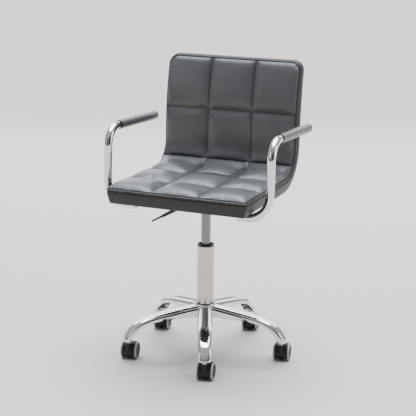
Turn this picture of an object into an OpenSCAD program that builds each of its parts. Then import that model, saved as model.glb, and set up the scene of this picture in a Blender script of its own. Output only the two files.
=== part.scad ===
// Swivel office chair with a quilted one-piece seat and back, two cantilever arms,
// a gas-lift column and a five-leg base on twin-wheel castors.
// Millimetres. Origin on the floor under the column, +Z up, the seat faces -Y.

/* [Seat and back] */
// Width of the seat and of the back
seat_w = 420; // [380:2:520]
// Height of the seat's underside above the floor, at the stored height
seat_under = 486; // [470:2:600]
// Distance from the column axis to the seat's front face
seat_front = 228; // [205:1:280]
// Distance from the column axis to the rear face of the lower back
back_rear = 218; // [200:1:265]
// Height of the back's top edge above the seat's underside
back_h = 374; // [300:2:460]
// Outside radius of the bend between seat and back
bend_r = 121; // [100:1:140]
// Radius of the back's gentle rearward curve
lean_r = 1200; // [900:50:2400]
// Angle on the bend at which the seat padding meets the back padding
crease_angle = -40; // [-55:1:-25]

/* [Layers] */
// Thickness of the cover on the underside and rear
cover_t = 4; // [3:0.5:6]
// Thickness of the bent plywood board
board_t = 10; // [8:0.5:14]
// Thickness of the padding in front of the board
pad_t = 34; // [28:1:42]
// How far the board stops short of the padding's edge
board_inset = 8; // [5:1:14]
// Corner radius at the seat's front, seen from above
front_corner_r = 18; // [8:1:40]
// Corner radius at the back's top, seen from the front
top_corner_r = 28; // [12:1:60]
// Chamfer along the two side edges of the underside
under_edge = 8; // [4:0.5:12]

/* [Arms] */
// Outside radius of the arm tube
arm_r = 11.75; // [9:0.25:14]
// Wall of the arm tube
arm_wall = 2; // [1:0.25:3]
// Gap between the seat's side and the upright of the arm
arm_gap = 26; // [18:1:40]
// Distance of the upright in front of the column axis
arm_front = 144; // [110:1:170]
// Height of the armrest above the arm's run under the seat, at the tube's centre
arm_h = 217; // [180:1:260]
// Bend radius under the seat, at the tube's centre
low_bend_r = 66; // [50:1:90]
// Bend radius at the top, at the tube's centre
top_bend_r = 55; // [36:1:70]
// Bare tube between the top bend and the padded sleeve
bare_len = 10; // [5:1:40]
// Length of the padded sleeve with its end cap
sleeve_len = 245; // [200:1:300]
// Wall of the padded sleeve
sleeve_t = 1.9; // [1:0.1:4]
// Slope of the armrest down towards the rear, in degrees
arm_slope = 2.2; // [0:0.2:6]

/* [Column] */
// Outside radius of the column tube
column_r = 25; // [22:0.5:30]
// Wall of the column tube
column_wall = 2.5; // [1.5:0.25:4]
// Height of the column tube's top
column_top = 332; // [280:2:350]
// Outside radius of the gas cylinder
gas_r = 14; // [12:0.5:17]
// Wall of the gas cylinder
gas_wall = 2; // [1.5:0.25:3]
// Height of the gas cylinder's lower end, at the stored height
gas_bottom = 215; // [200:1:225]
// Radius of the piston rod
rod_r = 5; // [4:0.25:6]
// Running clearance on radius
fit = 0.05; // [0.02:0.01:0.1]

/* [Mechanism] */
// Distance from the seat's underside to the lower end of the socket
socket_drop = 55; // [52:1:60]
// Wall of the socket that takes the gas cylinder
socket_wall = 6; // [3:0.5:8]
// Distance from the column axis to the lever's pivot
pivot_x = 34; // [33:0.5:35]
// Length of the lever from its pivot to its tip
lever_len = 163; // [134:1:200]
// Slope of the lever below the horizontal, in degrees
lever_slope = 29.6; // [22:0.2:36]

/* [Base] */
// Radius at which the castor stems stand
stem_ring_r = 236; // [200:1:285]
// Wall of the hub around the column
hub_wall = 3.5; // [2.5:0.5:6]
// Height of the hub's lower end
hub_bottom = 112; // [100:1:135]
// Height of the hub
hub_h = 44; // [38:1:55]
// Wall of the pressed steel legs
leg_wall = 2.5; // [1.5:0.25:3.5]
// Width of a leg at the hub
leg_w = 39; // [32:1:45]
// Direction of the first leg, in degrees from +X
first_leg = -67.34; // [-90:0.01:0]

/* [Castors] */
// Radius of a castor wheel
wheel_r = 25; // [21:0.5:30]
// Overall width of a castor over both wheels
castor_w = 49; // [44:0.5:60]
// Distance from the stem's axis back to the axle
trail = 20; // [16:0.5:26]
// Radius of the castor stem
stem_r = 5.5; // [4.5:0.25:6.5]
// Radius of the axle
axle_r = 3; // [2.5:0.25:4]
// Direction in which the castors point, in degrees from +X
castor_heading = -80; // [-180:1:180]

/* [Hidden] */
$fn = 64;
LEG_COUNT = 5;
HUB_R = column_r + hub_wall;
BACK_TOP = seat_under + back_h;
SOCKET_R = gas_r + socket_wall;
PLATE_T = 2.5;          // sheet of the mounting plate
SHELL_T = cover_t + board_t + pad_t;
ARM_X = seat_w / 2 + arm_gap + arm_r;
BRACKET_T = 3;          // plate that carries each arm
// The arm's run lies just low enough for its bend to pass under the seat's chamfered edge
BEND_SIDE = min(arm_gap + under_edge, low_bend_r - arm_r);
BEND_RISE = low_bend_r - sqrt(BEND_SIDE * (2 * (low_bend_r - arm_r) - BEND_SIDE));
ARM_DROP = max(BEND_RISE, arm_r + BRACKET_T) + 1;
ARM_Z = seat_under - ARM_DROP;
BEND_Y = back_rear - bend_r;
BEND_Z = seat_under + bend_r;
LEG_START = 24;         // the legs' sections start inside the hub
LEG_END = stem_ring_r + 16;
HUB_TOP = hub_bottom + hub_h;
STEM_BOTTOM = wheel_r + 9;
SOCKET_BOTTOM = seat_under - socket_drop;
SOCKET_H = 25;
GAS_TOP = SOCKET_BOTTOM + SOCKET_H + 1;
GAS_TOP_R = gas_r - 0.6;
PIN_R = 4;
PIN_TOP = GAS_TOP + 6;
FINGER_T = 5;
FINGER_GAP = 0.4;
PIVOT_Z = PIN_TOP + FINGER_GAP + FINGER_T / 2;
PIVOT_R = 3;
PAN = [90, 90];       // outside of the mounting plate's pan, X and Y
PAN_BOTTOM = SOCKET_BOTTOM + 13;
FLANGE = [160, 176];    // outside of the mounting plate's flange, X and Y
BOLT_R = 3;
PLATE_BOLTS = [for (x = [-1, 1], y = [-1, 1]) [x * (FLANGE[0] / 2 - 13), y * (FLANGE[1] / 2 - 13)]];
ARM_BOLT_X = [ARM_X - low_bend_r - 44, ARM_X - low_bend_r - 78];
ARM_BOLTS = [for (s = [-1, 1], x = ARM_BOLT_X) [s * x, -arm_front]];
ALL_BOLTS = concat(PLATE_BOLTS, ARM_BOLTS);
BOLT_TOP = seat_under + cover_t + board_t - 1;
BUSH_LIP = 5.5;
HOOD_R = wheel_r + 1.8;
CORE_R = wheel_r - 3;
HOOD_HALF = castor_w / 2 - 6.2;
WEB_HALF = stem_r + 1;
HOOD_TOP = wheel_r + HOOD_R;
LEG_ROOT_TOP = hub_bottom + 40;
LEG_ROOT_LOW = hub_bottom + 7;
LEG_END_LOW = HOOD_TOP + 10.2;
LEG_END_TOP = LEG_END_LOW + 4;
STEM_SOCKET_LOW = HOOD_TOP + 5.2;
STEM_SOCKET_TOP = leg_z_top(stem_ring_r + 8) - leg_wall - 2.5;

// ---------------------------------------------------------------- base

// How far along a leg a radius lies: 0 at its start, 1 at its end
function leg_s(r) = (r - 30) / (LEG_END - 30);
// Height of a leg's top and of its lower edge at a radius
function leg_z_top(r) = let (s = max(leg_s(r), 0))
    LEG_ROOT_TOP - (LEG_ROOT_TOP - LEG_END_TOP) * (0.36 * s + 0.64 * pow(s, 6.6));
function leg_z_low(r) = let (s = max(leg_s(r), 0))
    max(LEG_END_LOW, LEG_ROOT_LOW - (LEG_ROOT_LOW - LEG_END_LOW) * 1.51 * pow(s, 5.4));
function leg_width(r) = leg_w + 6 * sin(180 * leg_s(r)) - leg_s(r);

// Half outline of a leg's section: the top corner's arc, then the side
function leg_arc(half, top, corner, n = 5) =
    [for (i = [0:n]) let (a = 90 - 90 * i / n)
        [half - corner + corner * cos(a), top - corner + corner * sin(a)]];

// Closed outline of the channel section at radius r, as [across, height]
function leg_ring(r) =
    let (half = leg_width(r) / 2, top = leg_z_top(r), low = leg_z_low(r),
         corner = min(13, 0.8 * (top - low)),
         in_corner = max(corner - leg_wall, 0.6),
         out_r = concat(leg_arc(half, top, corner), [[half, low]]),
         in_r = concat(leg_arc(half - leg_wall, max(top - leg_wall, low + 1), in_corner),
                       [[half - leg_wall, low]]))
    concat(out_r, [for (i = [len(in_r) - 1:-1:0]) in_r[i]],
           [for (p = in_r) [-p[0], p[1]]], [for (i = [len(out_r) - 1:-1:0]) [-out_r[i][0], out_r[i][1]]]);

module leg_channel() {
    steps = 22;
    radii = [for (i = [0:steps]) LEG_START + (LEG_END - LEG_START) * (1 - pow(1 - i / steps, 1.5))];
    rings = [for (r = radii) [for (p = leg_ring(r)) [r, p[0], p[1]]]];
    count = len(rings[0]);
    last = steps * count;
    sides = [for (i = [0:steps - 1], j = [0:count - 1]) let (k = (j + 1) % count)
        [i * count + j, i * count + k, (i + 1) * count + k, (i + 1) * count + j]];
    start_cap = [[for (j = [count - 1:-1:0]) j]];
    end_cap = [[for (j = [0:count - 1]) last + j]];
    polyhedron([for (ring = rings, p = ring) p], concat(start_cap, sides, end_cap), convexity = 6);
}

module leg(n) {
    color("silver")
    difference() {
        rotate([0, 0, first_leg + 72 * (n - 1)]) leg_channel();
        translate([0, 0, hub_bottom - 10]) cylinder(r = HUB_R, h = hub_h + 20);
        // Mitred beside its neighbours, with a hair's gap
        rotate([0, 0, first_leg + 72 * (n - 1) + 36])
            translate([0, -0.15, hub_bottom - 10]) cube([80, 40, hub_h + 20]);
        rotate([0, 0, first_leg + 72 * (n - 1) - 36])
            translate([0, -39.85, hub_bottom - 10]) cube([80, 40, hub_h + 20]);
    }
}

module base_hub() {
    color("gainsboro")
    difference() {
        translate([0, 0, hub_bottom]) cylinder(r = HUB_R, h = hub_h);
        column_body();
        translate([0, 0, HUB_TOP - 2]) cylinder(r1 = column_r, r2 = column_r + 2.4, h = 2.01);
    }
}

module castor_sockets() {
    plate_z = LEG_END_LOW + 5.5;
    outer = stem_ring_r + 6;
    half = leg_width(outer) / 2 - leg_wall;
    color("dimgray")
    for (n = [1:LEG_COUNT]) rotate([0, 0, first_leg + 72 * (n - 1)])
        difference() {
            union() {
                translate([stem_ring_r, 0, STEM_SOCKET_LOW])
                    cylinder(r = stem_r + 2.5, h = STEM_SOCKET_TOP - STEM_SOCKET_LOW);
                translate([stem_ring_r - 4, -half, plate_z]) cube([10, 2 * half, 2.5]);
            }
            translate([stem_ring_r, 0, STEM_SOCKET_LOW - 1])
                cylinder(r = stem_r + fit, h = STEM_SOCKET_TOP - STEM_SOCKET_LOW + 2);
        }
}

// ---------------------------------------------------------------- column

// The column's outside: straight above the hub, a slow taper inside it
module column_body() {
    translate([0, 0, hub_bottom]) cylinder(r1 = column_r - 1, r2 = column_r, h = hub_h + 4);
    translate([0, 0, HUB_TOP + 4]) cylinder(r = column_r, h = column_top - HUB_TOP - 4);
}

module column_tube() {
    color("silver")
    difference() {
        column_body();
        translate([0, 0, hub_bottom + 3])
            cylinder(r = column_r - column_wall - 1, h = hub_h + 4);
        translate([0, 0, hub_bottom + hub_h + 6])
            cylinder(r = column_r - column_wall, h = column_top);
        translate([0, 0, hub_bottom - 1]) cylinder(r = rod_r + fit, h = 6);
    }
}

module guide_bush() {
    bush_bottom = column_top - 92;
    color("black")
    difference() {
        union() {
            translate([0, 0, bush_bottom]) cylinder(r = column_r - column_wall, h = 92);
            translate([0, 0, column_top]) cylinder(r = column_r - 0.2, h = BUSH_LIP);
        }
        translate([0, 0, bush_bottom - 1]) cylinder(r = gas_r + fit, h = 92 + BUSH_LIP + 2);
        translate([0, 0, column_top - 2]) cylinder(r1 = gas_r + 3, r2 = column_r - 3, h = BUSH_LIP + 2.01);
    }
}

module thrust_bearing() {
    color("slategray")
    translate([0, 0, hub_bottom + 3.1])
    difference() {
        cylinder(r = rod_r + 7, h = 5);
        translate([0, 0, -1]) cylinder(r = rod_r, h = 7);
    }
}

module retaining_clip() {
    color("darkgray")
    translate([0, 0, hub_bottom - 2.1])
    difference() {
        cylinder(r = rod_r + 4, h = 2);
        translate([0, 0, -1]) cylinder(r = rod_r - 0.6, h = 4);
        translate([0, -1, -1]) cube([rod_r + 10, 2, 4]);
    }
}

module piston_rod() {
    clip_z = hub_bottom - 2.1;
    shoulder_z = hub_bottom + 8.1;
    piston_z = gas_bottom + 51;
    color("silver") {
        translate([0, 0, clip_z - 2.5]) cylinder(r = rod_r, h = 2.5);
        translate([0, 0, clip_z]) cylinder(r = rod_r - 0.6, h = 2);
        translate([0, 0, clip_z + 2]) cylinder(r = rod_r, h = piston_z - clip_z - 2);
        translate([0, 0, shoulder_z]) cylinder(r = rod_r + 4, h = 4);
        translate([0, 0, piston_z]) cylinder(r = gas_r - gas_wall - fit, h = 14);
    }
}

module gas_cylinder() {
    color("lightslategray")
    difference() {
        union() {
            translate([0, 0, gas_bottom]) cylinder(r = gas_r, h = SOCKET_BOTTOM - gas_bottom);
            translate([0, 0, SOCKET_BOTTOM]) cylinder(r1 = gas_r, r2 = GAS_TOP_R, h = GAS_TOP - SOCKET_BOTTOM);
        }
        translate([0, 0, gas_bottom + 12])
            cylinder(r = gas_r - gas_wall, h = SOCKET_BOTTOM - gas_bottom - 12);
        translate([0, 0, gas_bottom - 1]) cylinder(r = rod_r + fit, h = 14);
        translate([0, 0, GAS_TOP - 19]) cylinder(r = PIN_R + fit, h = 20);
    }
}

module release_pin() {
    color("black")
    translate([0, 0, GAS_TOP - 14]) cylinder(r = PIN_R, h = PIN_TOP - GAS_TOP + 14);
}

// ---------------------------------------------------------------- mechanism

module mounting_plate() {
    wall_top = seat_under - PLATE_T;
    color("dimgray")
    difference() {
        union() {
            translate([-FLANGE[0] / 2, -FLANGE[1] / 2, wall_top]) cube([FLANGE[0], FLANGE[1], PLATE_T]);
            translate([-PAN[0] / 2, -PAN[1] / 2, PAN_BOTTOM]) cube([PAN[0], PAN[1], wall_top - PAN_BOTTOM]);
        }
        translate([-PAN[0] / 2 + PLATE_T, -PAN[1] / 2 + PLATE_T, PAN_BOTTOM + PLATE_T])
            cube([PAN[0] - 2 * PLATE_T, PAN[1] - 2 * PLATE_T, 100]);
        translate([0, 0, PAN_BOTTOM - 1]) cylinder(r = SOCKET_R - 1, h = PLATE_T + 2);
        lever_slot();
        for (b = PLATE_BOLTS) translate([b[0], b[1], wall_top - 1]) cylinder(r = BOLT_R, h = PLATE_T + 2);
    }
    color("dimgray") socket();
    color("dimgray") for (s = [-1, 1]) pivot_lug(s);
}

module lever_slot() {
    rise = (PAN[0] / 2 - pivot_x) * tan(lever_slope);
    translate([-PAN[0] / 2 - 1, -13, PIVOT_Z - rise - 8]) cube([PLATE_T + 2, 26, 18]);
}

// Welded tube with a tapered bore for the gas cylinder's upper end
module socket() {
    difference() {
        translate([0, 0, SOCKET_BOTTOM]) cylinder(r = SOCKET_R, h = SOCKET_H);
        translate([0, 0, SOCKET_BOTTOM]) cylinder(r1 = gas_r, r2 = GAS_TOP_R, h = GAS_TOP - SOCKET_BOTTOM);
    }
}

module pivot_lug(side) {
    difference() {
        translate([-pivot_x - 6, side * 9.5 - 1.5, PAN_BOTTOM + PLATE_T])
            cube([12, 3, PIVOT_Z - PAN_BOTTOM - PLATE_T + 6]);
        translate([-pivot_x, side * 9.5 - 3, PIVOT_Z]) rotate([-90, 0, 0]) cylinder(r = PIVOT_R, h = 6);
    }
}

module lever_pivot() {
    color("silver")
    translate([-pivot_x, -14, PIVOT_Z]) rotate([-90, 0, 0]) cylinder(r = PIVOT_R, h = 28);
}

// Half widths of the handle along its length, as [distance from the pivot, half width]
LEVER_SIDE = [[4.2, 5], [22, 5.5], [48, 10], [78, 11.5], [98, 9.5], [116, 5.5], [128, 4.2]];
function lever_outline() =
    let (r = 4)
    concat(LEVER_SIDE, [for (a = [60:-30:-60]) [lever_len - r + r * cos(a), r * sin(a)]],
           [for (i = [len(LEVER_SIDE) - 1:-1:0]) [LEVER_SIDE[i][0], -LEVER_SIDE[i][1]]]);

// The handle seen from the side: thick in the grip, thin towards its tip
function lever_side() = let (grip = 0.36 * lever_len, waist = 0.68 * lever_len)
    [[0, -4], [0.22 * lever_len, -4], [grip, -5.5], [waist, -5], [0.8 * lever_len, -3], [lever_len, -2.5],
     [lever_len, 2.5], [0.8 * lever_len, 3], [waist, 5], [grip, 5.5], [0.22 * lever_len, 4], [0, 4]];

module lever() {
    color("black")
    translate([-pivot_x, 0, PIVOT_Z])
    difference() {
        union() {
            translate([0, -7.5, 0]) rotate([-90, 0, 0]) cylinder(r = 6, h = 15);
            translate([0, -4, -FINGER_T / 2]) cube([pivot_x + 6, 8, FINGER_T]);
            rotate([0, -lever_slope, 0]) rotate([0, 0, 180]) intersection() {
                translate([0, 0, -6]) linear_extrude(12) polygon(lever_outline());
                rotate([90, 0, 0]) linear_extrude(40, center = true) polygon(lever_side());
            }
        }
        translate([0, -9, 0]) rotate([-90, 0, 0]) cylinder(r = PIVOT_R + fit, h = 18);
    }
}

module bolt(x, y, head_top) {
    translate([x, y, head_top - 4]) cylinder(r = 5.6, h = 4, $fn = 6);
    translate([x, y, head_top]) cylinder(r = BOLT_R, h = BOLT_TOP - head_top);
}

module plate_bolts() {
    color("gray") for (b = PLATE_BOLTS) bolt(b[0], b[1], seat_under - PLATE_T);
}

module arm_bolts() {
    color("gray") for (b = ARM_BOLTS) bolt(b[0], b[1], seat_under - BRACKET_T);
}

module t_nuts() {
    nut_bottom = seat_under + cover_t + 1;
    color("darkgray")
    for (b = ALL_BOLTS) translate([b[0], b[1], 0])
        difference() {
            union() {
                translate([0, 0, nut_bottom]) cylinder(r = BOLT_R + 1, h = BOLT_TOP - nut_bottom);
                translate([0, 0, BOLT_TOP - 1]) cylinder(r = BOLT_R + 6, h = 1);
            }
            translate([0, 0, nut_bottom - 1]) cylinder(r = BOLT_R, h = board_t + 2);
        }
}

// ---------------------------------------------------------------- seat and back

// Points [y, z] on the shell's bend and on its back, d inward from the outer face
function bend_pts(d, a0, a1, n) =
    [for (i = [0:n]) let (a = a0 + (a1 - a0) * i / n)
        [BEND_Y + (bend_r - d) * cos(a), BEND_Z + (bend_r - d) * sin(a)]];
function back_pts(d, t_end, n) =
    [for (i = [1:n]) let (t = t_end * i / n)
        [back_rear + lean_r - (lean_r + d) * cos(t), BEND_Z + (lean_r + d) * sin(t)]];
function back_end() = asin((BACK_TOP - BEND_Z) / lean_r) + 2;
function seat_line(d) =
    concat([[-seat_front - 10, seat_under + d]], bend_pts(d, -90, crease_angle, 6));
function back_line(d) = concat(bend_pts(d, crease_angle, 0, 5), back_pts(d, back_end(), 8));
function whole_line(d) = concat([[-seat_front - 10, seat_under + d]], bend_pts(d, -90, crease_angle, 6),
    [for (i = [1:5]) bend_pts(d, crease_angle, 0, 5)[i]], back_pts(d, back_end(), 8));
function backwards(line) = [for (i = [len(line) - 1:-1:0]) line[i]];

module across(line_a, line_b) {
    rotate([90, 0, 90]) linear_extrude(seat_w + 20, center = true)
        polygon(concat(line_a, backwards(line_b)));
}

// Outline seen from above: rounded front corners
function plan_outline(inset) =
    let (half = seat_w / 2 - inset, front = -seat_front + inset, r = front_corner_r, rear = back_rear + 200)
    concat([for (a = [180:15:270]) [-half + r + r * cos(a), front + r + r * sin(a)]],
           [for (a = [270:15:360]) [half - r + r * cos(a), front + r + r * sin(a)]],
           [[half, rear], [-half, rear]]);

// Outline seen from the front: rounded top corners, chamfered lower edges
function front_outline(inset) =
    let (half = seat_w / 2 - inset, top = BACK_TOP - inset, r = top_corner_r,
         edge = half - under_edge - 1, low = seat_under - 1)
    concat([[-half, seat_under + under_edge], [-edge, low], [edge, low], [half, seat_under + under_edge]],
           [for (a = [0:15:90]) [half - r + r * cos(a), top - r + r * sin(a)]],
           [for (a = [90:15:180]) [-half + r + r * cos(a), top - r + r * sin(a)]]);

module trimmed(inset) {
    intersection() {
        children();
        translate([0, 0, seat_under - 10]) linear_extrude(BACK_TOP) polygon(plan_outline(inset));
        translate([0, back_rear + 300, 0]) rotate([90, 0, 0])
            linear_extrude(seat_front + back_rear + 400) polygon(front_outline(inset));
    }
}

module board_solid() {
    trimmed(board_inset) across(whole_line(cover_t), whole_line(cover_t + board_t));
}

module bolt_holes(r, from, to) {
    for (b = ALL_BOLTS) translate([b[0], b[1], from]) cylinder(r = r, h = to - from);
}

module outer_cover() {
    color([0.27, 0.27, 0.29])
    difference() {
        trimmed(0) across(whole_line(0), whole_line(cover_t));
        bolt_holes(BOLT_R, seat_under - 1, seat_under + cover_t + 1);
    }
}

module shell_board() {
    color("burlywood")
    difference() {
        board_solid();
        bolt_holes(BOLT_R + 1, seat_under, BOLT_TOP);
        bolt_holes(BOLT_R + 6, BOLT_TOP - 1, BOLT_TOP + 2);
    }
}

module seat_cushion() {
    color([0.42, 0.43, 0.46])
    difference() {
        trimmed(0) across(seat_line(cover_t), seat_line(SHELL_T));
        board_solid();
    }
}

module back_cushion() {
    color([0.33, 0.33, 0.35])
    difference() {
        trimmed(0) across(back_line(cover_t), back_line(SHELL_T));
        board_solid();
    }
}

// ---------------------------------------------------------------- arms

// A straight or bent length of hollow tube along its own axis
module pipe(length) {
    difference() {
        cylinder(r = arm_r, h = length);
        translate([0, 0, -1]) cylinder(r = arm_r - arm_wall, h = length + 2);
    }
}

module pipe_bend(radius, angle) {
    rotate_extrude(angle = angle) translate([radius, 0]) difference() {
        circle(r = arm_r);
        circle(r = arm_r - arm_wall);
    }
}

RUN_LEN = 24;           // straight run under the seat
INNER_X = ARM_X - low_bend_r - RUN_LEN;
UPRIGHT_LEN = arm_h - low_bend_r - top_bend_r;

// The whole arm leans by the armrest's slope, about the run under the seat
module arm_frame() {
    translate([0, -arm_front, ARM_Z]) rotate([-arm_slope, 0, 0]) children();
}

// Places its children with the sleeve's front end at the origin, its length along +Z
module armrest_frame() {
    arm_frame() translate([ARM_X, top_bend_r + bare_len, arm_h]) rotate([-90, 0, 0]) children();
}

module arm_tube() {
    difference() {
        union() {
            arm_frame() {
                translate([INNER_X, 0, 0]) rotate([0, 90, 0]) pipe(RUN_LEN);
                translate([INNER_X, 0, 0]) rotate([0, 90, 0]) cylinder(r = arm_r, h = arm_wall);
                translate([ARM_X - low_bend_r, 0, low_bend_r]) rotate([90, 0, 0])
                    rotate([0, 0, -90]) pipe_bend(low_bend_r, 90);
                translate([ARM_X, 0, low_bend_r]) pipe(UPRIGHT_LEN);
                translate([ARM_X, top_bend_r, low_bend_r + UPRIGHT_LEN]) rotate([90, 0, -90])
                    pipe_bend(top_bend_r, 90);
                translate([ARM_X, top_bend_r, arm_h]) rotate([-90, 0, 0])
                    pipe(bare_len + sleeve_len - 8);
            }
            arm_bracket();
        }
        for (x = ARM_BOLT_X) translate([x, -arm_front, seat_under - BRACKET_T - 1])
            cylinder(r = BOLT_R, h = BRACKET_T + 2);
    }
}

// Spacer and plate welded on the tube's run, which bear on the seat's underside
module arm_bracket() {
    plate_len = RUN_LEN + 68;
    translate([ARM_X - low_bend_r - plate_len, -arm_front - 20, seat_under - BRACKET_T])
        cube([plate_len, 40, BRACKET_T]);
    translate([ARM_X - low_bend_r - RUN_LEN / 2, -arm_front, ARM_Z]) difference() {
        cylinder(r = 8, h = ARM_DROP - 1);
        rotate([0, 90, 0]) cylinder(r = arm_r - arm_wall / 2, h = 40, center = true);
    }
}

module arm_sleeve() {
    armrest_frame() difference() {
        cylinder(r = arm_r + sleeve_t, h = sleeve_len - 8);
        translate([0, 0, -1]) cylinder(r = arm_r, h = sleeve_len);
    }
}

module arm_ring() {
    armrest_frame() translate([0, 0, -3]) difference() {
        cylinder(r = arm_r + sleeve_t * 0.8, h = 3);
        translate([0, 0, -1]) cylinder(r = arm_r + 0.15, h = 5);
    }
}

module arm_cap() {
    plug_r = arm_r - arm_wall;
    armrest_frame() {
        translate([0, 0, sleeve_len - 8]) cylinder(r = arm_r + sleeve_t, h = 5);
        translate([0, 0, sleeve_len - 3]) cylinder(r1 = arm_r + sleeve_t, r2 = arm_r + sleeve_t - 3, h = 3);
        translate([0, 0, sleeve_len - 24]) cylinder(r = plug_r, h = 16);
    }
}

module left() {
    mirror([1, 0, 0]) children();
}

module arm_tube_left() { color("silver") left() arm_tube(); }
module arm_tube_right() { color("silver") arm_tube(); }
module arm_sleeve_left() { color([0.3, 0.3, 0.32]) left() arm_sleeve(); }
module arm_sleeve_right() { color([0.3, 0.3, 0.32]) arm_sleeve(); }
module arm_rings() { color("black") { arm_ring(); left() arm_ring(); } }
module arm_caps() { color("black") { arm_cap(); left() arm_cap(); } }

// ---------------------------------------------------------------- castors

// Places a castor: stem axis at the origin, heading along +X
module at_castor(n) {
    a = first_leg + 72 * (n - 1);
    translate([stem_ring_r * cos(a), stem_ring_r * sin(a), 0]) rotate([0, 0, castor_heading]) children();
}

// Turns a solid of revolution about +Z onto the axle, at the axle's place
module on_axle() {
    translate([-trail, 0, wheel_r]) rotate([90, 0, 0]) children();
}

module castor_hood(n) {
    color([0.1, 0.1, 0.1]) at_castor(n)
    difference() {
        union() {
            on_axle() rotate([0, 0, -22]) rotate_extrude(angle = 165)
                translate([CORE_R + 1.2, -HOOD_HALF]) square([HOOD_R - CORE_R - 1.2, 2 * HOOD_HALF]);
            on_axle() rotate([0, 0, 40]) rotate_extrude(angle = 8)
                translate([HOOD_R - 1, -HOOD_HALF]) square([1.8, 2 * HOOD_HALF]);
            on_axle() cylinder(r = CORE_R + 2, h = 2 * WEB_HALF, center = true);
            translate([0, 0, STEM_BOTTOM - 6]) cylinder(r = stem_r + 3, h = HOOD_TOP - STEM_BOTTOM + 6);
        }
        on_axle() cylinder(r = axle_r, h = 2 * WEB_HALF + 2, center = true);
        translate([0, 0, STEM_BOTTOM]) cylinder(r = stem_r, h = 60);
        for (s = [-1, 1]) on_axle() translate([0, 0, s * (WEB_HALF + 25)])
            cylinder(r = CORE_R + 1.19, h = 50, center = true);
    }
}

module castor_pins(n) {
    color("silver") at_castor(n) {
        translate([0, 0, STEM_BOTTOM]) cylinder(r = stem_r, h = STEM_SOCKET_TOP - 1 - STEM_BOTTOM);
        on_axle() cylinder(r = axle_r, h = castor_w - 9, center = true);
    }
}

// One wheel's section, [radius, distance from the castor's middle]
module wheel(n, side) {
    inner = WEB_HALF + 0.5;
    outer = castor_w / 2;
    color([0.13, 0.13, 0.13]) at_castor(n) on_axle() mirror([0, 0, side > 0 ? 1 : 0])
    difference() {
        rotate_extrude() polygon([[0, inner], [CORE_R, inner], [CORE_R, outer - 0.8], [CORE_R - 1, outer],
            [CORE_R - 5, outer], [CORE_R - 6.5, outer - 1.6], [8, outer - 1.6], [6.5, outer - 0.4], [0, outer - 0.4]]);
        translate([0, 0, inner - 1]) cylinder(r = axle_r + fit, h = castor_w / 2 - 4.3 - inner + 1);
    }
}

module tyre(n, side) {
    inner = HOOD_HALF + 0.5;
    outer = castor_w / 2;
    color([0.72, 0.72, 0.72]) at_castor(n) on_axle() mirror([0, 0, side > 0 ? 1 : 0])
    rotate_extrude() polygon([[CORE_R, inner], [wheel_r - 0.8, inner], [wheel_r, inner + 0.8],
        [wheel_r, outer - 2], [wheel_r - 0.5, outer - 1.1], [wheel_r - 1.2, outer - 0.8], [CORE_R, outer - 0.8]]);
}

base_hub();
leg(1);  // leg_1
leg(2);  // leg_2
leg(3);  // leg_3
leg(4);  // leg_4
leg(5);  // leg_5
castor_sockets();
column_tube();
guide_bush();
thrust_bearing();
retaining_clip();
piston_rod();
gas_cylinder();
release_pin();
mounting_plate();
plate_bolts();
lever_pivot();
lever();
shell_board();
t_nuts();
seat_cushion();
back_cushion();
outer_cover();
arm_tube_left();
arm_tube_right();
arm_sleeve_left();
arm_sleeve_right();
arm_rings();
arm_caps();
arm_bolts();
castor_hood(1);  // castor_1_hood
castor_hood(2);  // castor_2_hood
castor_hood(3);  // castor_3_hood
castor_hood(4);  // castor_4_hood
castor_hood(5);  // castor_5_hood
castor_pins(1);  // castor_1_pins
castor_pins(2);  // castor_2_pins
castor_pins(3);  // castor_3_pins
castor_pins(4);  // castor_4_pins
castor_pins(5);  // castor_5_pins
wheel(1, -1);  // wheel_1_left
wheel(2, -1);  // wheel_2_left
wheel(3, -1);  // wheel_3_left
wheel(4, -1);  // wheel_4_left
wheel(5, -1);  // wheel_5_left
wheel(1, 1);  // wheel_1_right
wheel(2, 1);  // wheel_2_right
wheel(3, 1);  // wheel_3_right
wheel(4, 1);  // wheel_4_right
wheel(5, 1);  // wheel_5_right
tyre(1, -1);  // tyre_1_left
tyre(2, -1);  // tyre_2_left
tyre(3, -1);  // tyre_3_left
tyre(4, -1);  // tyre_4_left
tyre(5, -1);  // tyre_5_left
tyre(1, 1);  // tyre_1_right
tyre(2, 1);  // tyre_2_right
tyre(3, 1);  // tyre_3_right
tyre(4, 1);  // tyre_4_right
tyre(5, 1);  // tyre_5_right
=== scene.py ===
# %% [markdown]
# # A quilted swivel office chair
# The hard parts of this chair, such as its column, base, castors and arm tubes, come in as a fixed
# frame. This lesson adds what a frame can't hold: padded panels, seams, welts, smooth pressed legs,
# and the finish of every surface. Each section says what the real piece is and why it is made so.

# %% Load the frame
import math

import bmesh
import bpy
import numpy as np
from mathutils import Matrix, Vector


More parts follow.
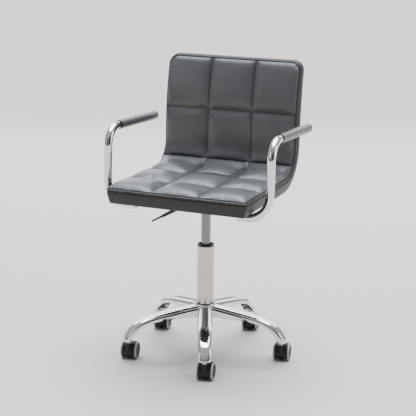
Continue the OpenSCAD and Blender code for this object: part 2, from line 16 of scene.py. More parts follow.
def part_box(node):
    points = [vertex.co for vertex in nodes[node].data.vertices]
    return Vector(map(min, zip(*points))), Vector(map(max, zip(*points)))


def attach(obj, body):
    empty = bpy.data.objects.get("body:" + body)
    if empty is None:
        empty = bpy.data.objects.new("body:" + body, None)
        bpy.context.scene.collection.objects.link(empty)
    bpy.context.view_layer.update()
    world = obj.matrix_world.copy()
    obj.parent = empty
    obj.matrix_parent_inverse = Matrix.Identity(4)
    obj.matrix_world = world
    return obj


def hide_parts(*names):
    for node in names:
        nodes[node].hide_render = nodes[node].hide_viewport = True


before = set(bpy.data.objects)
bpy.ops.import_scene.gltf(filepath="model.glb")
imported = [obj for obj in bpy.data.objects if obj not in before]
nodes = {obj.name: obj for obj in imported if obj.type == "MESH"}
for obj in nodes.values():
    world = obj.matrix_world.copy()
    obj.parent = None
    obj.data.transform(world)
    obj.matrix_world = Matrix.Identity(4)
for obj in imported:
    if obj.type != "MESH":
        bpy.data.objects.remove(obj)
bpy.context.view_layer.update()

# %% [markdown]
# ## The camera
# A long lens from standing height keeps the legs' perspective calm. The camera stands to the
# chair's front right, looks a little down, and is placed by its bearing, distance and height,
# because those three are easy to reason about.

# %% Place the camera
BEARING, DISTANCE, EYE_HEIGHT = math.radians(22.80), 3.548, 1.335
TILT_DOWN, ROLL = math.radians(14.08), math.radians(0.65)
AIM_ASIDE = math.radians(0.083)

camera_data = bpy.data.cameras.new("camera")
camera_data.lens = 108.5
camera_data.sensor_width = 36.0
camera = bpy.data.objects.new("camera", camera_data)
bpy.context.scene.collection.objects.link(camera)
eye = Vector((DISTANCE * math.sin(BEARING), -DISTANCE * math.cos(BEARING), EYE_HEIGHT))
heading = Matrix.Rotation(BEARING - AIM_ASIDE, 4, "Z")
turn = heading @ Matrix.Rotation(math.pi / 2 - TILT_DOWN, 4, "X")
camera.matrix_world = Matrix.Translation(eye) @ turn @ Matrix.Rotation(ROLL, 4, "Z")
bpy.context.scene.camera = camera
print("camera at", [round(c, 2) for c in eye])

# %% [markdown]
# ## Helpers for materials
# A material is a small graph of nodes. A few short helpers, which add a node, wire two sockets, start
# a group or do a sum, keep the graphs below readable.

# %% Node helpers
def add_node(tree, kind, **settings):
    node = tree.nodes.new(kind)
    for key, value in settings.items():
        if key.startswith("in_"):
            node.inputs[key[3:].replace("_", " ")].default_value = value
        else:
            setattr(node, key, value)
    return node


def wire(tree, out_socket, in_socket):
    tree.links.new(out_socket, in_socket)


def new_group(name, inputs, outputs):
    """A shader node group with float inputs, given with their defaults, and named outputs."""
    group = bpy.data.node_groups.new(name, "ShaderNodeTree")
    for label, default in inputs.items():
        socket = group.interface.new_socket(label, in_out="INPUT", socket_type="NodeSocketFloat")
        socket.default_value = default
    for label in outputs:
        group.interface.new_socket(label, in_out="OUTPUT", socket_type="NodeSocketFloat")
    return group, group.nodes.new("NodeGroupInput"), group.nodes.new("NodeGroupOutput")


def maths(tree, operation, first, second=None, third=None):
    """A Math node. Sockets are wired in, numbers are set."""
    node = add_node(tree, "ShaderNodeMath", operation=operation)
    for place, value in enumerate((first, second, third)):
        if value is None:
            continue
        if isinstance(value, (int, float)):
            node.inputs[place].default_value = value
        else:
            wire(tree, value, node.inputs[place])
    return node.outputs[0]


# %% [markdown]
# ## Shared surface effects
# Three effects appear on more than one finish. Leather grain is a net of tiny pebbles with faint
# creases over it. Handling marks are broad, soft changes in gloss where hands and cloths have been.
# Moulded texture is the fine sparkle that a spark-eroded mould leaves on plastic. Each is a node
# group, built once and given its own numbers in each material.

# %% Leather grain group
def build_leather_grain():
    group, inp, out = new_group("leather_grain", {"Pebbles": 700.0, "Creases": 24.0}, ["Height", "Tone"])
    coords = add_node(group, "ShaderNodeTexCoord")
    drift = add_node(group, "ShaderNodeTexNoise", in_Scale=90.0, in_Detail=2.0)
    wire(group, coords.outputs["Object"], drift.inputs["Vector"])
    warp = add_node(group, "ShaderNodeVectorMath", operation="MULTIPLY_ADD")
    warp.inputs[1].default_value = (0.0012, 0.0012, 0.0012)
    wire(group, drift.outputs["Color"], warp.inputs[0])
    wire(group, coords.outputs["Object"], warp.inputs[2])
    pebbles = add_node(group, "ShaderNodeTexVoronoi", feature="SMOOTH_F1", in_Smoothness=0.35)
    wire(group, warp.outputs[0], pebbles.inputs["Vector"])
    wire(group, inp.outputs["Pebbles"], pebbles.inputs["Scale"])
    creases = add_node(group, "ShaderNodeTexNoise", noise_type="RIDGED_MULTIFRACTAL",
                       in_Detail=4.0, in_Roughness=0.6)
    wire(group, warp.outputs[0], creases.inputs["Vector"])
    wire(group, inp.outputs["Creases"], creases.inputs["Scale"])
    broad = add_node(group, "ShaderNodeTexNoise", in_Scale=7.0, in_Detail=3.0)
    wire(group, coords.outputs["Object"], broad.inputs["Vector"])
    pebble_height = maths(group, "MULTIPLY", pebbles.outputs["Distance"], -0.35)
    height = maths(group, "MULTIPLY_ADD", creases.outputs["Fac"], 0.25, pebble_height)
    wire(group, height, out.inputs["Height"])
    tone = maths(group, "MULTIPLY_ADD", pebbles.outputs["Distance"], -0.3, broad.outputs["Fac"])
    wire(group, tone, out.inputs["Tone"])
    return group


leather_grain = build_leather_grain()
print("group", leather_grain.name, "with", len(leather_grain.nodes), "nodes")


# %% Handling marks group
def build_handling_marks():
    group, inp, out = new_group("handling_marks", {"Size": 14.0, "Streaks": 3.0}, ["Marks", "Height"])
    coords = add_node(group, "ShaderNodeTexCoord")
    smears = add_node(group, "ShaderNodeTexNoise", in_Detail=5.0, in_Roughness=0.62, in_Distortion=0.6)
    wire(group, coords.outputs["Object"], smears.inputs["Vector"])
    wire(group, inp.outputs["Size"], smears.inputs["Scale"])
    stretch = add_node(group, "ShaderNodeVectorMath", operation="MULTIPLY")
    stretch.inputs[1].default_value = (60.0, 60.0, 6.0)
    wire(group, coords.outputs["Object"], stretch.inputs[0])
    streaks = add_node(group, "ShaderNodeTexNoise", in_Detail=3.0)
    wire(group, stretch.outputs[0], streaks.inputs["Vector"])
    wire(group, inp.outputs["Streaks"], streaks.inputs["Scale"])
    marks = maths(group, "MULTIPLY_ADD", streaks.outputs["Fac"], 0.35, smears.outputs["Fac"])
    wire(group, maths(group, "SUBTRACT", marks, 0.17), out.inputs["Marks"])
    wire(group, smears.outputs["Fac"], out.inputs["Height"])
    return group


handling_marks = build_handling_marks()
print("group", handling_marks.name, "with", len(handling_marks.nodes), "nodes")


# %% Moulded texture group
def build_moulded_texture():
    group, inp, out = new_group("moulded_texture", {"Grain": 1400.0}, ["Height", "Tone"])
    coords = add_node(group, "ShaderNodeTexCoord")
    grain = add_node(group, "ShaderNodeTexNoise", in_Detail=3.0, in_Roughness=0.7)
    wire(group, coords.outputs["Object"], grain.inputs["Vector"])
    wire(group, inp.outputs["Grain"], grain.inputs["Scale"])
    cloud = add_node(group, "ShaderNodeTexNoise", in_Scale=30.0, in_Detail=4.0)
    wire(group, coords.outputs["Object"], cloud.inputs["Vector"])
    wire(group, grain.outputs["Fac"], out.inputs["Height"])
    wire(group, cloud.outputs["Fac"], out.inputs["Tone"])
    return group


moulded_texture = build_moulded_texture()
print("group", moulded_texture.name, "with", len(moulded_texture.nodes), "nodes")


# %% [markdown]
# ## Finishes
# Each finish starts from a Principled shader, with its constant numbers set on the shader itself.
# What changes over the surface, which is colour, roughness and height, is wired in from the groups.

# %% A start for every finish
def start_material(name, **shader_values):
    material = bpy.data.materials.new(name)
    material.use_nodes = True
    tree = material.node_tree
    tree.nodes.clear()
    shader = tree.nodes.new("ShaderNodeBsdfPrincipled")
    for label, value in shader_values.items():
        shader.inputs[label.replace("_", " ")].default_value = value
    output = tree.nodes.new("ShaderNodeOutputMaterial")
    wire(tree, shader.outputs[0], output.inputs["Surface"])
    return material, tree, shader


def place_group(tree, group, **values):
    node = add_node(tree, "ShaderNodeGroup", node_tree=group)
    for label, value in values.items():
        node.inputs[label].default_value = value
    return node


def mix_colours(tree, factor, dark, light, low=0.3, high=0.7):
    """A colour between two, by a factor that is first stretched from low..high to 0..1."""
    ramp = add_node(tree, "ShaderNodeValToRGB")
    ramp.color_ramp.elements[0].position = low
    ramp.color_ramp.elements[0].color = (*dark, 1.0)
    ramp.color_ramp.elements[1].position = high
    ramp.color_ramp.elements[1].color = (*light, 1.0)
    wire(tree, factor, ramp.inputs["Fac"])
    return ramp.outputs["Color"]


def stretch_value(tree, value, low, high, new_low, new_high):
    node = add_node(tree, "ShaderNodeMapRange", clamp=True)
    for label, number in zip(("From Min", "From Max", "To Min", "To Max"), (low, high, new_low, new_high)):
        node.inputs[label].default_value = number
    wire(tree, value, node.inputs["Value"])
    return node.outputs["Result"]


def bump(tree, shader, height, distance, strength):
    node = add_node(tree, "ShaderNodeBump", in_Distance=distance, in_Strength=strength)
    wire(tree, height, node.inputs["Height"])
    wire(tree, node.outputs["Normal"], shader.inputs["Normal"])


# %% Leather finishes
# Painted shade: the colour the seams' bottoms are darkened towards, and by how much.
SEAM_SHADE_COLOUR, SEAM_SHADE_STRENGTH = (0.010, 0.010, 0.011, 1.0), 0.9
GRAIN_DEPTH = 0.00035


def leather(name, dark, light, roughness, pebbles=700.0, coat=0.15, sewn=False, shine=0.55):
    """Grained leather. A sewn one also gets painted shade in its seam valleys, where the piece's own "seam"
    attribute says so.
    """
    material, tree, shader = start_material(name, Coat_Roughness=0.32, Specular_IOR_Level=shine,
                                            Coat_Weight=coat)
    grain = place_group(tree, leather_grain, Pebbles=pebbles)
    marks = place_group(tree, handling_marks, Size=9.0)
    colour = mix_colours(tree, grain.outputs["Tone"], dark, light, 0.25, 0.6)
    if sewn:
        # Painted shade: darken the colour towards each seam's bottom, where the valley lies in shade.
        seam = add_node(tree, "ShaderNodeAttribute", attribute_name="seam")
        shade = add_node(tree, "ShaderNodeMix", data_type="RGBA")
        shade.inputs["B"].default_value = SEAM_SHADE_COLOUR
        amount = stretch_value(tree, seam.outputs["Fac"], 0.0, 1.0, 0.0, SEAM_SHADE_STRENGTH)
        wire(tree, amount, shade.inputs["Factor"])
        wire(tree, colour, shade.inputs["A"])
        colour = shade.outputs["Result"]
    wire(tree, colour, shader.inputs["Base Color"])
    gloss = stretch_value(tree, marks.outputs["Marks"], 0.3, 0.7, roughness - 0.05, roughness + 0.07)
    wire(tree, gloss, shader.inputs["Roughness"])
    bump(tree, shader, grain.outputs["Height"], GRAIN_DEPTH, 0.6)
    return material


# The panels' finish has painted shade in its seam valleys.
panel_leather = leather("panel_leather", (0.064, 0.064, 0.069), (0.082, 0.083, 0.089),
                        roughness=0.38, sewn=True)
band_leather = leather("band_leather", (0.018, 0.0175, 0.019), (0.026, 0.025, 0.027),
                       roughness=0.50, coat=0.03, shine=0.35)
sleeve_leather = leather("sleeve_leather", (0.060, 0.062, 0.068), (0.082, 0.084, 0.091),
                         roughness=0.34, pebbles=900.0)
print("leathers:", panel_leather.name, band_leather.name, sleeve_leather.name)


# %% Thread finish
def thread():
    material, tree, shader = start_material("grey_thread", Specular_IOR_Level=0.35)
    coords = add_node(tree, "ShaderNodeTexCoord")
    strands = add_node(tree, "ShaderNodeTexNoise", in_Scale=2600.0, in_Detail=2.0)
    wire(tree, coords.outputs["Object"], strands.inputs["Vector"])
    wire(tree, mix_colours(tree, strands.outputs["Fac"], (0.11, 0.11, 0.12), (0.20, 0.20, 0.21)),
         shader.inputs["Base Color"])
    wire(tree, stretch_value(tree, strands.outputs["Fac"], 0.3, 0.7, 0.55, 0.75),
         shader.inputs["Roughness"])
    bump(tree, shader, strands.outputs["Fac"], 0.0002, 0.5)
    return material


grey_thread = thread()
print("thread:", grey_thread.name)


# %% Metal finishes
def metal(name, dark, light, rough_low, rough_high, streak=3.0, depth=0.00002):
    material, tree, shader = start_material(name, Metallic=1.0)
    marks = place_group(tree, handling_marks, Size=11.0, Streaks=streak)
    wire(tree, mix_colours(tree, marks.outputs["Marks"], dark, light), shader.inputs["Base Color"])
    wire(tree, stretch_value(tree, marks.outputs["Marks"], 0.3, 0.75, rough_low, rough_high),
         shader.inputs["Roughness"])
    bump(tree, shader, marks.outputs["Height"], depth, 0.5)
    return material


chrome_plate = metal("chrome_plate", (0.70, 0.70, 0.71), (0.84, 0.84, 0.85), 0.035, 0.10)
satin_steel = metal("satin_steel", (0.16, 0.16, 0.165), (0.25, 0.25, 0.255), 0.28, 0.42,
                    streak=9.0, depth=0.00006)
column_chrome = metal("column_chrome", (0.44, 0.41, 0.385), (0.58, 0.54, 0.51), 0.06, 0.14, streak=6.0)
zinc_plate = metal("zinc_plate", (0.42, 0.42, 0.44), (0.62, 0.62, 0.63), 0.30, 0.48)
print("metals:", chrome_plate.name, satin_steel.name, column_chrome.name, zinc_plate.name)


# %% Plastic, tread, paint and plywood finishes
def plastic(name, dark, light, rough_low, rough_high, grain=1400.0, depth=0.00008, shine=0.4):
    material, tree, shader = start_material(name, Specular_IOR_Level=shine)
    texture = place_group(tree, moulded_texture, Grain=grain)
    wire(tree, mix_colours(tree, texture.outputs["Tone"], dark, light), shader.inputs["Base Color"])
    wire(tree, stretch_value(tree, texture.outputs["Tone"], 0.3, 0.7, rough_low, rough_high),
         shader.inputs["Roughness"])
    bump(tree, shader, texture.outputs["Height"], depth, 0.6)
    return material


black_nylon = plastic("black_nylon", (0.008, 0.008, 0.009), (0.014, 0.014, 0.015), 0.34, 0.46, shine=0.3)
wheel_nylon = plastic("wheel_nylon", (0.012, 0.012, 0.013), (0.022, 0.022, 0.023), 0.38, 0.52)
grey_tread = plastic("grey_tread", (0.36, 0.36, 0.36), (0.47, 0.47, 0.46), 0.55, 0.75, grain=700.0)
black_paint = plastic("black_paint", (0.016, 0.016, 0.017), (0.026, 0.026, 0.027), 0.35, 0.50, grain=900.0)


def plywood():
    material, tree, shader = start_material("beech_plywood", Specular_IOR_Level=0.4)
    coords = add_node(tree, "ShaderNodeTexCoord")
    stretch = add_node(tree, "ShaderNodeMapping")
    stretch.inputs["Scale"].default_value = (60.0, 6.0, 6.0)
    wire(tree, coords.outputs["Object"], stretch.inputs["Vector"])
    rings = add_node(tree, "ShaderNodeTexNoise", in_Scale=3.0, in_Detail=6.0, in_Distortion=0.8)
    wire(tree, stretch.outputs[0], rings.inputs["Vector"])
    wire(tree, mix_colours(tree, rings.outputs["Fac"], (0.33, 0.20, 0.10), (0.52, 0.36, 0.21)),
         shader.inputs["Base Color"])
    wire(tree, stretch_value(tree, rings.outputs["Fac"], 0.3, 0.7, 0.5, 0.7), shader.inputs["Roughness"])
    bump(tree, shader, rings.outputs["Fac"], 0.0002, 0.4)
    return material


beech_plywood = plywood()
print("materials so far:", len(bpy.data.materials))

# %% [markdown]
# ## Dress the hard parts
# Most of the frame's parts keep their shape and place, and only get the finish that the real piece
# has. The cushions, the cover and the legs are remade further down.

# %% Give the frame's nodes their finish
FINISH_OF_NODE = {
    "base_hub": chrome_plate, "column_tube": column_chrome,
    "arm_tube_left": chrome_plate, "arm_tube_right": chrome_plate,
    "gas_cylinder": satin_steel, "piston_rod": chrome_plate,
    "castor_sockets": zinc_plate, "thrust_bearing": zinc_plate, "retaining_clip": zinc_plate,
    "lever_pivot": zinc_plate, "plate_bolts": zinc_plate, "arm_bolts": zinc_plate, "t_nuts": zinc_plate,
    "mounting_plate": black_paint,
    "guide_bush": black_nylon, "release_pin": black_nylon, "lever": black_nylon,
    "arm_rings": black_nylon, "arm_caps": black_nylon,
    "shell_board": beech_plywood,
}
FINISH_OF_KIND = {"leg": chrome_plate, "hood": black_nylon, "pins": zinc_plate,
                  "wheel": wheel_nylon, "tyre": grey_tread, "arm_sleeve": sleeve_leather,
                  "cushion": panel_leather, "cover": band_leather}


def give_finish(piece, material):
    piece.data.materials.clear()
    piece.data.materials.append(material)


for name, node in nodes.items():
    kinds = [kind for kind in FINISH_OF_KIND if kind in name]
    give_finish(node, FINISH_OF_NODE.get(name) or FINISH_OF_KIND[kinds[0]])
print("finished nodes:", len(nodes))


# %% [markdown]
# ## The bent shell as a map
# Seat and back are one board, bent once, with a long gentle curve above the bend. Everything soft
# follows it, so one function turns (across, along, depth) into a place. "Along" runs over the face
# of the padding from the front edge to the top, and "depth" goes in from the outer face. The sizes
# are read back from the frame's own boxes.

# %% The shell's measures
BEND_RADIUS, LEAN_RADIUS = 0.121, 1.2
cover_low, cover_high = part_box("outer_cover")
HALF_WIDTH = cover_high.x
FRONT_Y, UNDER_Z, TOP_Z = cover_low.y, cover_low.z, cover_high.z
BEND_Z = UNDER_Z + BEND_RADIUS
LEAN_END = math.asin((TOP_Z - BEND_Z) / LEAN_RADIUS)
REAR_Y = cover_high.y - LEAN_RADIUS * (1 - math.cos(LEAN_END))
BEND_Y = REAR_Y - BEND_RADIUS
FACE = 0.048                                    # depth of the padding's face
CREASE_TURN = math.radians(50)                  # how far round the bend seat and back meet
FACE_BEND = BEND_RADIUS - FACE
FLAT_LENGTH = BEND_Y - FRONT_Y
BEND_LENGTH = FACE_BEND * math.pi / 2
UPRIGHT_ALONG = FLAT_LENGTH + BEND_LENGTH       # where the long curve of the back begins
CREASE_ALONG = FLAT_LENGTH + FACE_BEND * CREASE_TURN
TOP_LEAN = math.asin((TOP_Z - BEND_Z) / (LEAN_RADIUS + FACE))
TOP_ALONG = UPRIGHT_ALONG + (LEAN_RADIUS + FACE) * TOP_LEAN
THIN_FROM, THIN_BY = 0.56, 0.010                # the padding thins above the small of the back
print("along the face: crease", round(CREASE_ALONG, 3), "top", round(TOP_ALONG, 3))


# %% From (across, along, depth) to a place
def face_depth(along):
    """The padding thins a little towards the top of the back."""
    rise = min(max((along - THIN_FROM) / (TOP_ALONG - THIN_FROM), 0.0), 1.0)
    return FACE - THIN_BY * rise * rise


def lean_at(along, depth):
    """Angle up the back. The top edge is cut level, so a deeper layer ends at a smaller angle."""
    share = (along - UPRIGHT_ALONG) / (TOP_ALONG - UPRIGHT_ALONG)
    return share * math.asin((TOP_Z - BEND_Z) / (LEAN_RADIUS + depth))


def shell_normal(along):
    """Direction, in the side view, from the outer face to the padding's face."""
    if along <= FLAT_LENGTH:
        return Vector((0, 0, 1))
    if along <= UPRIGHT_ALONG:
        angle = (along - FLAT_LENGTH) / FACE_BEND
        return Vector((0, -math.sin(angle), math.cos(angle)))
    lean = lean_at(along, FACE)
    return Vector((0, -math.cos(lean), math.sin(lean)))


def shell_point(across, along, depth):
    """The place of a point on the map. Depth goes from the outer face towards the padding's face."""
    if along <= FLAT_LENGTH:
        return Vector((across, FRONT_Y + along, UNDER_Z)) + depth * shell_normal(along)
    if along <= UPRIGHT_ALONG:
        angle = (along - FLAT_LENGTH) / FACE_BEND
        foot_y = BEND_Y + BEND_RADIUS * math.sin(angle)
        foot_z = BEND_Z - BEND_RADIUS * math.cos(angle)
        return Vector((across, foot_y, foot_z)) + depth * shell_normal(along)
    lean = lean_at(along, depth)
    foot_y = REAR_Y + LEAN_RADIUS * (1 - math.cos(lean))
    foot_z = BEND_Z + LEAN_RADIUS * math.sin(lean)
    return Vector((across, foot_y, foot_z)) + depth * Vector((0, -math.cos(lean), math.sin(lean)))


print("front edge", [round(c, 3) for c in shell_point(0, 0, FACE)])
print("top edge", [round(c, 3) for c in shell_point(0, TOP_ALONG, face_depth(TOP_ALONG))])

# %% [markdown]
# ## The quilted panels
# The seat and the back are each a sheet of leather cloth sewn down along seams that run across and
# along, with foam behind it, so nine and six pillows stand up between the seams. The way a shop
# makes them is the way they are made here: a flat grid is laid on the shell, its border and seam
# lines are held down over foam that is already crowned, and Cloth with a little pressure and some
# spare cloth blows the rest up. The foam gives each pillow its height, and the cloth its soft
# shoulders and the small puckers at the seams.

# %% Work only on what is selected
def deselect_all():
    if bpy.context.object and bpy.context.object.mode != "OBJECT":
        bpy.ops.object.mode_set(mode="OBJECT")
    bpy.ops.object.select_all(action="DESELECT")


def select_only(piece):
    deselect_all()
    piece.select_set(True)
    bpy.context.view_layer.objects.active = piece


def apply_modifiers(piece):
    select_only(piece)
    for modifier in list(piece.modifiers):
        bpy.ops.object.modifier_apply(modifier=modifier.name)


def smooth(piece, degrees=35):
    select_only(piece)
    bpy.ops.object.shade_smooth_by_angle(angle=math.radians(degrees))


# %% Lay a flat grid on the shell
SEAM_X, EDGE_X = 0.070, 0.2075                  # the seams that run along, and the side edges
COLUMN_STOPS = [-EDGE_X, -SEAM_X, SEAM_X, EDGE_X]


def spread(stops, steps):
    """Grid lines that pass through every stop, with the same number of steps between each two."""
    lines = [stops[0]]
    for start, end in zip(stops, stops[1:]):
        lines += [start + (end - start) * step / steps for step in range(1, steps + 1)]
    return lines


def round_corner(across, along, corner, centre_along):
    """Moves a point in a corner square on to a quarter disc, as scissors round a pattern's corner."""
    side = 1 if across > 0 else -1
    out_x = abs(across) - (EDGE_X - corner)
    out_s = abs(along - centre_along)
    if out_x <= 0 or out_s <= 0:
        return across, along
    pull = max(out_x, out_s) / math.hypot(out_x, out_s)
    toward = 1 if along > centre_along else -1
    return side * (EDGE_X - corner + out_x * pull), centre_along + toward * out_s * pull


def lay_sheet(name, row_stops, steps_across, steps_along, corner, corner_at_start):
    """A grid, with each vertex's column and row, and its (across, along) with two corners rounded."""
    columns = spread(COLUMN_STOPS, steps_across)
    rows = spread(row_stops, steps_along)
    deselect_all()
    bpy.ops.mesh.primitive_grid_add(x_subdivisions=len(columns) - 1, y_subdivisions=len(rows) - 1, size=1)
    sheet = bpy.context.object
    sheet.name = name
    places = []
    for vertex in sheet.data.vertices:
        column = round((vertex.co.x + 0.5) * (len(columns) - 1))
        row = round((vertex.co.y + 0.5) * (len(rows) - 1))
        places.append((column, row))
    corner_row = row_stops[0] + corner if corner_at_start else row_stops[-1] - corner
    flat = []
    for column, row in places:
        across, along = columns[column], rows[row]
        in_corner = along < corner_row if corner_at_start else along > corner_row
        flat.append(round_corner(across, along, corner, corner_row) if in_corner else (across, along))
    return sheet, places, flat, columns, rows


# %% The foam's form under the cloth
def pillow_rise(place, stops, seam_power, border_power):
    """0 on a seam and 1 in a pillow's middle. Border sides rise more steeply than sewn seams."""
    for number, (start, end) in enumerate(zip(stops, stops[1:])):
        if place <= end or number == len(stops) - 2:
            break
    local = min(max(2 * (place - start) / (end - start) - 1, -1.0), 1.0)
    outer = (number == 0 and local < 0) or (number == len(stops) - 2 and local > 0)
    power = border_power if outer else seam_power
    return (1 - abs(local) ** power) ** 0.8


# %% Blow the sheet up between its seams
def inflate(sheet, sewn, pressure, spare, frames, cap):
    group = sheet.vertex_groups.new(name="sewn")
    for index, weight in enumerate(sewn):
        if weight:
            group.add([index], weight, "REPLACE")
    before = np.array([vertex.co for vertex in sheet.data.vertices])
    cloth = sheet.modifiers.new("cloth", "CLOTH")
    settings = cloth.settings
    settings.quality = 8
    settings.mass = 0.25
    settings.tension_stiffness = settings.compression_stiffness = 30
    settings.shear_stiffness = 6
    settings.bending_stiffness = 12
    settings.air_damping = 4
    settings.use_pressure = True
    settings.uniform_pressure_force = pressure
    settings.shrink_min = -spare
    settings.vertex_group_mass = "sewn"
    settings.pin_stiffness = 5
    settings.effector_weights.gravity = 0
    cloth.point_cache.frame_start, cloth.point_cache.frame_end = 1, frames
    cloth.collision_settings.use_collision = False
    scene = bpy.context.scene
    for number in range(1, frames + 1):
        scene.frame_set(number)
    select_only(sheet)
    bpy.ops.object.modifier_apply(modifier="cloth")
    scene.frame_set(1)
    after = np.array([vertex.co for vertex in sheet.data.vertices])
    move = after - before
    length = np.linalg.norm(move, axis=1, keepdims=True)
    capped = before + move * np.minimum(1.0, cap / np.maximum(length, 1e-9))
    sheet.data.vertices.foreach_set("co", capped.astype(np.float32).ravel())
    print(sheet.name, "rose by up to", round(float(length.max()) * 1000, 1), "mm, cap", cap * 1000)


# %% Close a sheet into a pad
def close_into_pad(sheet, depth):
    """Turns the border down by depth and fills the underside, so the pad is a closed form."""
    mesh = bmesh.new()
    mesh.from_mesh(sheet.data)
    border = [edge for edge in mesh.edges if edge.is_boundary]
    made = bmesh.ops.extrude_edge_only(mesh, edges=border)
    skirt = [item for item in made["geom"] if isinstance(item, bmesh.types.BMVert)]
    for vertex in skirt:
        along = nearest_along(vertex.co)
        vertex.co -= depth * shell_normal(along)
    loop = [item for item in made["geom"] if isinstance(item, bmesh.types.BMEdge)]
    bmesh.ops.triangle_fill(mesh, edges=loop, use_beauty=True)
    bmesh.ops.recalc_face_normals(mesh, faces=mesh.faces)
    mesh.to_mesh(sheet.data)
    mesh.free()


def nearest_along(place):
    """Where along the shell a place lies, from its side view."""
    if place.y <= BEND_Y and place.z < BEND_Z:
        return place.y - FRONT_Y
    if place.z <= BEND_Z:
        angle = math.atan2(place.y - BEND_Y, BEND_Z - place.z)
        return FLAT_LENGTH + FACE_BEND * angle
    lean = math.asin(min((place.z - BEND_Z) / (LEAN_RADIUS + FACE), 1.0))
    return UPRIGHT_ALONG + (LEAN_RADIUS + FACE) * lean


# %% Painted shade in the seams: how near each point is to one
SEAM_SHADE_WIDTH = 0.0024


def paint_seam_shade(pad, row_stops):
    """1 in a seam's bottom, falling to 0 a few millimetres away: the finish paints shade into the seam by
    it.
    """
    near = pad.data.attributes.new("seam", "FLOAT", "POINT")
    for vertex in pad.data.vertices:
        along = nearest_along(vertex.co)
        gaps = [abs(abs(vertex.co.x) - SEAM_X)] + [abs(along - stop) for stop in row_stops[1:-1]]
        gaps.append(abs(along - CREASE_ALONG))
        near.data[vertex.index].value = math.exp(-(min(gaps) / SEAM_SHADE_WIDTH) ** 2)


# %% Put the sheet over the crowned foam
STEPS_ACROSS = 26
BULGE_WIDTH = 0.35                              # share of an outer pillow that bulges sideways


def lay_over_foam(sheet, places, flat, columns, rows, row_stops, steps_along, form):
    """Moves every vertex on to the foam, and gives 1 for each that is sewn down."""
    last_column, last_row = len(columns) - 1, len(rows) - 1
    sewn = []
    for vertex, (column, row), (across, along) in zip(sheet.data.vertices, places, flat):
        rise = form["crown"] * pillow_rise(columns[column], COLUMN_STOPS, form["seam"], form["border"])
        rise *= pillow_rise(rows[row], row_stops, form["seam"], form["border"])
        into_last = max(rows[row] - row_stops[-2], 0) / (row_stops[-1] - row_stops[-2])
        rise *= 1 + form["rear"] * min(into_last, 1)
        from_side = min(column, last_column - column) / STEPS_ACROSS
        bulge = form["bulge"] * math.sin(math.pi * min(from_side / BULGE_WIDTH, 1.0))
        bulge *= min(1.0, 2.5 * rise / form["crown"])
        outward = bulge if across > 0 else -bulge
        vertex.co = shell_point(across + outward, along, face_depth(along) - form["sink"] + rise)
        on_border = column in (0, last_column) or row in (0, last_row)
        on_seam = column % STEPS_ACROSS == 0 or row % steps_along == 0
        sewn.append(1.0 if on_border or on_seam else 0.0)
    sheet.data.update()
    return sewn


# %% Make the two panels
SEAM_CREASE = 0.6                               # how sharp the seams stay when the sheet is refined
SKIRT = 0.012                                   # how deep a panel's border turns down


def quilted_panel(name, row_stops, steps_along, corner, corner_at_start, form, cloth, replaced):
    sheet, places, flat, columns, rows = lay_sheet(name, row_stops, STEPS_ACROSS, steps_along, corner,
                                                   corner_at_start)
    sewn = lay_over_foam(sheet, places, flat, columns, rows, row_stops, steps_along, form)
    middle = sheet.data.polygons[len(sheet.data.polygons) // 2]
    if middle.normal.dot(shell_normal(sum(row_stops) / len(row_stops))) < 0:
        sheet.data.flip_normals()
    inflate(sheet, sewn, **cloth)
    crease = sheet.data.attributes.new("crease_edge", "FLOAT", "EDGE")
    for edge in sheet.data.edges:
        if all(sewn[index] for index in edge.vertices):
            crease.data[edge.index].value = SEAM_CREASE
    finer = sheet.modifiers.new("finer", "SUBSURF")
    finer.levels = finer.render_levels = 1
    apply_modifiers(sheet)
    close_into_pad(sheet, SKIRT)
    # Painted shade for the seams, read by the panel finish.
    paint_seam_shade(sheet, row_stops)
    give_finish(sheet, panel_leather)
    smooth(sheet, 80)
    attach(sheet, "seat")
    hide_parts(replaced)
    return sheet


EDGE_GAP = 0.003                                # from the shell's edge to the panel's
seat_rows = [EDGE_GAP + (CREASE_ALONG - EDGE_GAP) * third / 3 for third in range(4)]
back_rows = [CREASE_ALONG + (TOP_ALONG - EDGE_GAP - CREASE_ALONG) * half / 2 for half in range(3)]
SEAT_STEPS, BACK_STEPS = 26, 28
SEAT_FORM = {"crown": 0.015, "seam": 2.6, "border": 4.5, "bulge": 0.005, "sink": 0.0020, "rear": 0.5}
SEAT_CLOTH = {"pressure": 5.0, "spare": 0.005, "frames": 16, "cap": 0.0035}
BACK_FORM = {"crown": 0.009, "seam": 6.0, "border": 8.0, "bulge": 0.003, "sink": 0.0015, "rear": 0.0}
BACK_CLOTH = {"pressure": 3.0, "spare": 0.002, "frames": 16, "cap": 0.0015}
FRONT_CORNER, TOP_CORNER = 0.012, 0.028         # radii in the outline
seat_panel = quilted_panel("seat_panel", seat_rows, SEAT_STEPS, FRONT_CORNER, True, SEAT_FORM, SEAT_CLOTH,
                           "seat_cushion")
back_panel = quilted_panel("back_panel", back_rows, BACK_STEPS, TOP_CORNER, False, BACK_FORM, BACK_CLOTH,
                           "back_cushion")
print("panels:", len(seat_panel.data.polygons), len(back_panel.data.polygons), "faces")

# %% [markdown]
# ## The cover behind the panels
# A darker leather cover wraps the board's edge as a band and runs over the back. It is one closed
# slab that follows the same map: rings of points round its outline, each a little further in depth,
# with a groove for the seam below the narrow strip. Under the seat the band draws in by a
# centimetre; up the back it stays nearly full and bulges a little.

# %% Outline of the shell on the map
SIDE_STEPS, CORNER_STEPS = 96, 8
LEAST_CORNER = 0.002


